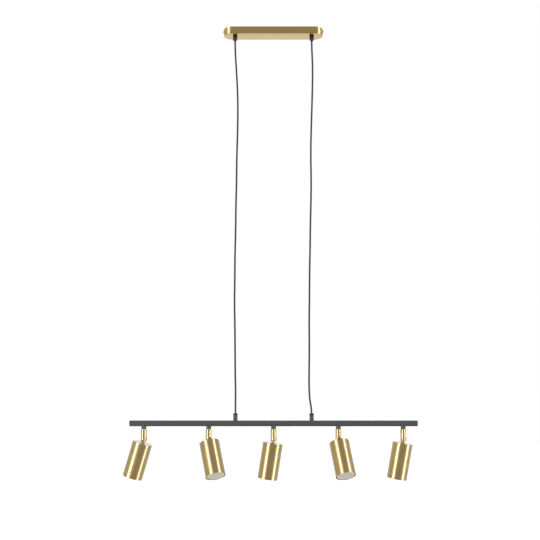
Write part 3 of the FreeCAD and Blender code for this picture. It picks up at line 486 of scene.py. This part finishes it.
def brushed_brass(name, tones, matrix, line_size, run_size, turned):
    """Brass-plated steel, brushed to a fine satin and lacquered: long parallel scratches that the light runs
    across, a slightly uneven tone, and a thin clear film. The scratches are a noise stretched along the
    brushing, round a shade or along the canopy. They are line_size apart and run_size long, in millimetres:
    real ones are about 0.05 mm apart and are drawn wider, to show."""
    material, tree = new_material(name)
    place = add(tree, "ShaderNodeTexCoord").outputs["Object"]
    local = add(
        tree,
        "ShaderNodeMapping",
        {"Vector": place, "Location": matrix.translation, "Rotation": matrix.to_euler()},
        vector_type="TEXTURE",
    ).outputs[0]
    across = per_size(line_size)
    along = per_size(run_size)
    stretch = (along, along, across) if turned else (along, across, across)
    scratches = add(
        tree,
        "ShaderNodeTexNoise",
        {
            "Vector": add(tree, "ShaderNodeMapping", {"Vector": local, "Scale": stretch}).outputs[0],
            "Scale": 1.0,
            "Detail": 3.0,
            "Roughness": 0.6,
        },
    ).outputs[0]
    clouds = add(
        tree, "ShaderNodeTexNoise", {"Vector": local, "Scale": per_size(CLOUD_SIZE), "Detail": 2.0}
    ).outputs[0]
    tone = add(
        tree, "ShaderNodeMath", {0: scratches, 1: SCRATCH_SHARE, 2: clouds}, operation="MULTIPLY_ADD"
    ).outputs[0]
    lightness = add(
        tree, "ShaderNodeMapRange", {"Value": tone, "From Min": TONE_SPAN[0], "From Max": TONE_SPAN[1]}
    ).outputs[0]
    light, deep = tones
    colour = add(
        tree,
        "ShaderNodeMix",
        {0: lightness, 6: linear(deep), 7: linear(light)},
        data_type="RGBA",
    ).outputs[2]
    roughness = add(
        tree,
        "ShaderNodeMapRange",
        {
            "Value": scratches,
            "From Min": SCRATCH_SPAN[0],
            "From Max": SCRATCH_SPAN[1],
            "To Min": BRUSHED_ROUGHNESS[0],
            "To Max": BRUSHED_ROUGHNESS[1],
        },
    ).outputs[0]
    relief = add(
        tree, "ShaderNodeBump", {"Height": scratches, "Strength": 0.05, "Distance": BRUSHED_DEPTH}
    ).outputs[0]
    inputs = {
        "Base Color": colour,
        "Metallic": 1.0,
        "Roughness": roughness,
        "Normal": relief,
        "Coat Weight": 1.0 if turned else 0.6,
        "Coat Roughness": 0.1,
        "Coat IOR": 2.0 if turned else 1.8,
    }
    if turned:
        inputs["Anisotropic"] = 0.5
        inputs["Tangent"] = across_the_brushing(tree, place, matrix)
    return finish_material(material, add(tree, "ShaderNodeBsdfPrincipled", inputs))


def across_the_brushing(tree, place, matrix):
    """The direction in which a turned, brushed surface spreads a highlight: round = axis x position, and
    spread = round x normal, along the side of a cylinder and outwards over its flat end."""
    axis = matrix.to_3x3() @ UP
    arm = add(
        tree, "ShaderNodeVectorMath", {0: place, 1: matrix.translation}, operation="SUBTRACT"
    ).outputs[0]
    round_axis = add(
        tree, "ShaderNodeVectorMath", {0: axis, 1: arm}, operation="CROSS_PRODUCT"
    ).outputs[0]
    in_world = add(
        tree,
        "ShaderNodeVectorTransform",
        {"Vector": round_axis},
        vector_type="VECTOR",
        convert_from="OBJECT",
        convert_to="WORLD",
    ).outputs[0]
    normal = add(tree, "ShaderNodeNewGeometry").outputs["Normal"]
    return add(
        tree, "ShaderNodeVectorMath", {0: in_world, 1: normal}, operation="CROSS_PRODUCT"
    ).outputs[0]


GRAIN_DEPTH = 0.1 * MM  # at a relief of 1


def grained(name, light, deep, grain, roughness, relief, metallic=0.0):
    """A surface with one even grain, so many millimetres large: its two tones, its roughness range and its
    relief follow one noise."""
    material, tree = new_material(name)
    place = add(tree, "ShaderNodeTexCoord").outputs["Object"]
    speckle = add(tree, "ShaderNodeTexNoise", {"Vector": place, "Scale": per_size(grain)}).outputs[0]
    colour = add(
        tree,
        "ShaderNodeMix",
        {0: speckle, 6: linear(deep), 7: linear(light)},
        data_type="RGBA",
    ).outputs[2]
    rough = add(
        tree,
        "ShaderNodeMapRange",
        {"Value": speckle, "To Min": roughness[0], "To Max": roughness[1]},
    ).outputs[0]
    bump = add(
        tree, "ShaderNodeBump", {"Height": speckle, "Strength": relief, "Distance": GRAIN_DEPTH}
    ).outputs[0]
    inputs = {
        "Base Color": colour,
        "Metallic": metallic,
        "Roughness": rough,
        "Normal": bump,
    }
    return finish_material(material, add(tree, "ShaderNodeBsdfPrincipled", inputs))


# Polished brass: bright, with the faint waviness of buffing.
polished_brass = grained(
    "brass_polished_buffed",
    light="#DFCCA4",
    deep="#D6C297",
    grain=6,
    roughness=(0.24, 0.28),
    relief=0.01,
    metallic=1.0,
)
# Bright zinc plating on pressed steel: cool grey with soft cloudy patches.
zinc_steel = grained(
    "zinc_plated_steel_pressed",
    light="#C3C6CA",
    deep="#9EA3A9",
    grain=3,
    roughness=(0.28, 0.42),
    relief=0.1,
    metallic=1.0,
)
# Charcoal powder coat, baked: matt and smooth, with a faint orange peel of about a millimetre.
powder_coat = grained(
    "powder_coat_baked",
    light="#494A50",
    deep="#43444A",
    grain=1.2,
    roughness=(0.44, 0.52),
    relief=0.08,
)
# Moulded black nylon: satin, with a light spark-eroded grain.
black_nylon = grained(
    "nylon_moulded_black",
    light="#343235",
    deep="#262427",
    grain=0.5,
    roughness=(0.34, 0.46),
    relief=0.2,
)
# Moulded white polyamide of the terminal block: satin, and slightly uneven in tone.
white_polyamide = grained(
    "polyamide_moulded_white",
    light="#EEEDE8",
    deep="#E2E0D9",
    grain=0.8,
    roughness=(0.35, 0.45),
    relief=0.1,
)
# Pressed steatite of the lampholder: unglazed and chalky, with fine pores.
steatite = grained(
    "steatite_pressed",
    light="#EFEBDF",
    deep="#DDD7C8",
    grain=0.4,
    roughness=(0.6, 0.75),
    relief=0.3,
)
# Moulded white thermoplastic of the bulb's body and bezel: satin.
bulb_plastic = grained(
    "thermoplastic_moulded_bulb",
    light="#F8F5EC",
    deep="#F3EFE4",
    grain=0.7,
    roughness=(0.3, 0.38),
    relief=0.06,
)
# Frosted cover of the bulb: pale grey while it is off, soft and almost without gloss.
frosted_cover = grained(
    "polycarbonate_frosted_cover",
    light="#DFDFE3",
    deep="#D7D7DB",
    grain=0.5,
    roughness=(0.42, 0.5),
    relief=0.08,
)


LIVE_COLOUR = "#6B4128"
NEUTRAL_COLOUR = "#2E5C9E"
HAZE_SIZE = 2  # millimetres


def insulation(name):
    """PVC insulation of the inner conductors, extruded: smooth, with a slightly uneven gloss. The live one in
    front of the light's middle plane is brown, and the neutral one behind it is blue."""
    material, tree = new_material(name)
    place = add(tree, "ShaderNodeTexCoord").outputs["Object"]
    depth = add(tree, "ShaderNodeSeparateXYZ", {0: place}).outputs["Y"]
    behind = add(tree, "ShaderNodeMath", {0: depth, 1: 0.0}, operation="GREATER_THAN").outputs[0]
    colour = add(
        tree,
        "ShaderNodeMix",
        {0: behind, 6: linear(LIVE_COLOUR), 7: linear(NEUTRAL_COLOUR)},
        data_type="RGBA",
    ).outputs[2]
    haze = add(tree, "ShaderNodeTexNoise", {"Vector": place, "Scale": per_size(HAZE_SIZE)}).outputs[0]
    rough = add(
        tree, "ShaderNodeMapRange", {"Value": haze, "To Min": 0.35, "To Max": 0.5}
    ).outputs[0]
    inputs = {"Base Color": colour, "Roughness": rough}
    return finish_material(material, add(tree, "ShaderNodeBsdfPrincipled", inputs))


SHEATH_LIGHT = "#323133"
SHEATH_DEEP = "#262527"
SHEATH_HAZE_SIZE = 9  # millimetres
SHEATH_RIB = 0.55 * MM  # from one line of the die to the next
SHEATH_RIB_DEPTH = 0.03 * MM


def cord_sheath(name):
    """Black PVC sheath of a round cord, extruded: satin, with the faint lengthwise lines that the die leaves,
    as a sine wave round the cord on its UV map, whose units are metres, and a little unevenness of the
    gloss along it."""
    material, tree = new_material(name)
    uv = add(tree, "ShaderNodeUVMap", uv_map="surface").outputs[0]
    around = add(tree, "ShaderNodeSeparateXYZ", {0: uv}).outputs["X"]
    phase = add(
        tree, "ShaderNodeMath", {0: around, 1: 2 * math.pi / SHEATH_RIB}, operation="MULTIPLY"
    ).outputs[0]
    ribs = add(tree, "ShaderNodeMath", {0: phase}, operation="SINE").outputs[0]
    haze = add(tree, "ShaderNodeTexNoise", {"Vector": uv, "Scale": per_size(SHEATH_HAZE_SIZE)}).outputs[0]
    colour = add(
        tree,
        "ShaderNodeMix",
        {0: haze, 6: linear(SHEATH_DEEP), 7: linear(SHEATH_LIGHT)},
        data_type="RGBA",
    ).outputs[2]
    rough = add(
        tree, "ShaderNodeMapRange", {"Value": haze, "To Min": 0.45, "To Max": 0.58}
    ).outputs[0]
    bump = add(
        tree, "ShaderNodeBump", {"Height": ribs, "Strength": 0.15, "Distance": SHEATH_RIB_DEPTH}
    ).outputs[0]
    inputs = {"Base Color": colour, "Roughness": rough, "Normal": bump}
    return finish_material(material, add(tree, "ShaderNodeBsdfPrincipled", inputs))


wire_insulation = insulation("pvc_extruded_insulation")
black_sheath = cord_sheath("pvc_sheath_black")
canopy_brass = brushed_brass(
    "brass_brushed_canopy", CANOPY_TONES, Matrix.Identity(4), line_size=0.5, run_size=60, turned=False
)

MATERIAL_OF_SLOT = {
    "brushed_brass": canopy_brass,
    "polished_brass": polished_brass,
    "zinc_steel": zinc_steel,
    "black_paint": powder_coat,
    "black_plastic": black_nylon,
    "white_plastic": white_polyamide,
    "wire_insulation": wire_insulation,
    "black_cord": black_sheath,
    "holder_ceramic": steatite,
    "bulb_plastic": bulb_plastic,
    "bulb_lens": frosted_cover,
}


def dress(thing, material):
    """Gives an object that material alone."""
    thing.data.materials.clear()
    thing.data.materials.append(material)


for node, thing in [*frame["nodes"].items(), *finished.items()]:
    dress(thing, MATERIAL_OF_SLOT[SLOT_OF[node]])
for cord in cords:
    dress(cord, black_sheath)
for lens in lenses:
    dress(lens, frosted_cover)
for number, shade in shades.items():
    shade_brass = brushed_brass(
        f"brass_brushed_shade_{number}",
        SHADE_TONES,
        head_matrix(number),
        line_size=0.6,
        run_size=40,
        turned=True,
    )
    dress(shade, shade_brass)


# ---------------------------------------------------------------- studio

FLOOR_HEIGHT = -2.35
FLOOR_HALF = 30.0  # from its middle to each side
FLOOR_COLOUR = "#D9D9D9"
FLOOR_LIFT = 0.68  # brings the floor that the camera sees up to the white of the backdrop

# The studio's colour by the Y of a direction from the light, which runs from -1, behind the camera, where
# the room is darker and warmer, to 1, straight behind the light, where the white backdrop is.
STUDIO_COLOURS = (
    (-1.0, "#A79E8E"),
    (-0.55, "#A79E8E"),
    (-0.1, "#C6BFAC"),
    (0.35, "#CAC5B6"),
    (0.7, "#C6C2B8"),
    (0.9, "#E6E4E0"),
    (0.97, "#FFFFFF"),
)

# The two tall soft boxes that stand in that studio: the azimuth of each, 0 behind the camera and positive to
# the right, and its brightness in its lower and its upper part. The right one is weaker below.
SOFT_BOXES = ((-50.0, 4.4, 4.4), (65.0, 3.6, 4.4))
BOX_CORE = 5.0  # degrees from a box's middle line to where its side begins to fade
BOX_EDGE = 12.5  # degrees from its middle line to where it is dark
BOX_SPLIT = (-0.3, 0.0)  # the direction's Z, from its lower brightness to its upper one
BOX_ENDS = (0.66, 0.82)  # the direction's Z, up and down, where a box begins to fade and where it is dark
BOX_COLOUR = "#FFFCF4"

FILL_SIZE = 2.4  # of its side
FILL_PLACE = (-0.9, -2.8, -0.9)
FILL_RADIANCE = 1.8  # where the backdrop has 1


def make_fill_lamp():
    """A wide soft lamp in front of the light, for its matt parts and for its shadow on the floor. A lamp of
    power P and area A shines with radiance P / (pi A)."""
    data = bpy.data.lights.new("fill_lamp", "AREA")
    data.size = FILL_SIZE
    data.energy = FILL_RADIANCE * math.pi * FILL_SIZE**2
    lamp = bpy.data.objects.new("fill_lamp", data)
    lamp.location = FILL_PLACE
    aim = Vector((0, 0, bar_axis_height)) - lamp.location
    lamp.rotation_euler = aim.to_track_quat("-Z", "Y").to_euler()
    lamp.visible_camera = False
    lamp.visible_glossy = False
    bpy.context.scene.collection.objects.link(lamp)


make_fill_lamp()


def smooth_step(tree, value, start, end):
    """A soft step: 0 where the value is at its start, 1 where it is at its end."""
    return add(
        tree,
        "ShaderNodeMapRange",
        {"Value": value, "From Min": start, "From Max": end},
        interpolation_type="SMOOTHSTEP",
    ).outputs[0]


def studio_light(tree, direction):
    """The studio's light in a direction: its colour along Y, and the two soft boxes at their azimuths."""
    parts = add(tree, "ShaderNodeSeparateXYZ", {0: direction}).outputs
    share = add(
        tree, "ShaderNodeMapRange", {"Value": parts["Y"], "From Min": -1.0, "From Max": 1.0}
    ).outputs[0]
    ramp = add(tree, "ShaderNodeValToRGB", {0: share})
    stops = ramp.color_ramp.elements
    while len(stops) < len(STUDIO_COLOURS):
        stops.new(0.5)
    for stop, (depth, colour) in zip(stops, STUDIO_COLOURS):
        stop.position = (depth + 1) / 2
        stop.color = linear(colour)
    light = ramp.outputs[0]
    forward = add(tree, "ShaderNodeMath", {0: parts["Y"], 1: -1.0}, operation="MULTIPLY").outputs[0]
    azimuth = add(
        tree, "ShaderNodeMath", {0: parts["X"], 1: forward}, operation="ARCTAN2"
    ).outputs[0]
    steepness = add(tree, "ShaderNodeMath", {0: parts["Z"]}, operation="ABSOLUTE").outputs[0]
    within = smooth_step(tree, steepness, BOX_ENDS[1], BOX_ENDS[0])
    for middle, lower, upper in SOFT_BOXES:
        off = add(
            tree, "ShaderNodeMath", {0: azimuth, 1: math.radians(middle)}, operation="SUBTRACT"
        ).outputs[0]
        off = add(tree, "ShaderNodeMath", {0: off}, operation="ABSOLUTE").outputs[0]
        shape = smooth_step(tree, off, math.radians(BOX_EDGE), math.radians(BOX_CORE))
        strength = add(
            tree,
            "ShaderNodeMapRange",
            {
                "Value": parts["Z"],
                "From Min": BOX_SPLIT[0],
                "From Max": BOX_SPLIT[1],
                "To Min": lower,
                "To Max": upper,
            },
        ).outputs[0]
        shape = add(tree, "ShaderNodeMath", {0: shape, 1: within}, operation="MULTIPLY").outputs[0]
        shape = add(tree, "ShaderNodeMath", {0: shape, 1: strength}, operation="MULTIPLY").outputs[0]
        glow = add(
            tree,
            "ShaderNodeVectorMath",
            {0: linear(BOX_COLOUR)[:3], "Scale": shape},
            operation="SCALE",
        ).outputs[0]
        light = add(tree, "ShaderNodeVectorMath", {0: light, 1: glow}, operation="ADD").outputs[0]
    return light


def make_floor():
    """A wide pale floor, a flat grid of two by two quads. The camera sees it as white as the backdrop, with
    the light's shadow, and metal and glass mirror it as bright as the studio is in its direction."""
    spread = np.linspace(-FLOOR_HALF, FLOOR_HALF, 3)
    x, y = (side.ravel() for side in np.meshgrid(spread, spread))
    points = np.column_stack((x, y, 0 * x + FLOOR_HEIGHT))
    faces = [(0, 1, 4, 3), (1, 2, 5, 4), (3, 4, 7, 6), (4, 5, 8, 7)]
    floor = mesh_object("floor", points, faces)
    material, tree = new_material("matt_pale_floor")
    rays = add(tree, "ShaderNodeLightPath").outputs
    lift = add(
        tree, "ShaderNodeMath", {0: rays["Is Camera Ray"], 1: FLOOR_LIFT}, operation="MULTIPLY"
    ).outputs[0]
    paint = add(tree, "ShaderNodeBsdfDiffuse", {"Color": linear(FLOOR_COLOUR)})
    glow = add(tree, "ShaderNodeEmission", {"Color": linear("#FFFFFF"), "Strength": lift})
    seen = add(tree, "ShaderNodeAddShader", {0: paint.outputs[0], 1: glow.outputs[0]})
    place = add(tree, "ShaderNodeTexCoord").outputs["Object"]
    arm = add(
        tree, "ShaderNodeVectorMath", {0: place, 1: (0, 0, bar_axis_height)}, operation="SUBTRACT"
    ).outputs[0]
    direction = add(tree, "ShaderNodeVectorMath", {0: arm}, operation="NORMALIZE").outputs[0]
    image = add(tree, "ShaderNodeEmission", {"Color": studio_light(tree, direction)})
    mirrored = add(
        tree,
        "ShaderNodeMath",
        {0: rays["Is Glossy Ray"], 1: rays["Is Transmission Ray"]},
        operation="MAXIMUM",
    ).outputs[0]
    whole = add(tree, "ShaderNodeMixShader", {0: mirrored, 1: seen.outputs[0], 2: image.outputs[0]})
    dress(floor, finish_material(material, whole))


make_floor()


def make_world():
    """A white backdrop for the camera. Other rays see a plain studio: darker behind the camera, brighter
    beside the light, and the backdrop straight behind it."""
    world = bpy.data.worlds.new("studio")
    world.use_nodes = True
    tree = world.node_tree
    tree.nodes.clear()
    direction = add(tree, "ShaderNodeTexCoord").outputs["Generated"]
    studio = add(tree, "ShaderNodeBackground", {"Color": studio_light(tree, direction)})
    backdrop = add(tree, "ShaderNodeBackground", {"Color": linear("#FFFFFF")})
    seen = add(tree, "ShaderNodeLightPath").outputs["Is Camera Ray"]
    mixed = add(tree, "ShaderNodeMixShader", {0: seen, 1: studio.outputs[0], 2: backdrop.outputs[0]})
    add(tree, "ShaderNodeOutputWorld", {"Surface": mixed.outputs[0]})
    bpy.context.scene.world = world


make_world()
bpy.context.scene.view_settings.view_transform = "Standard"
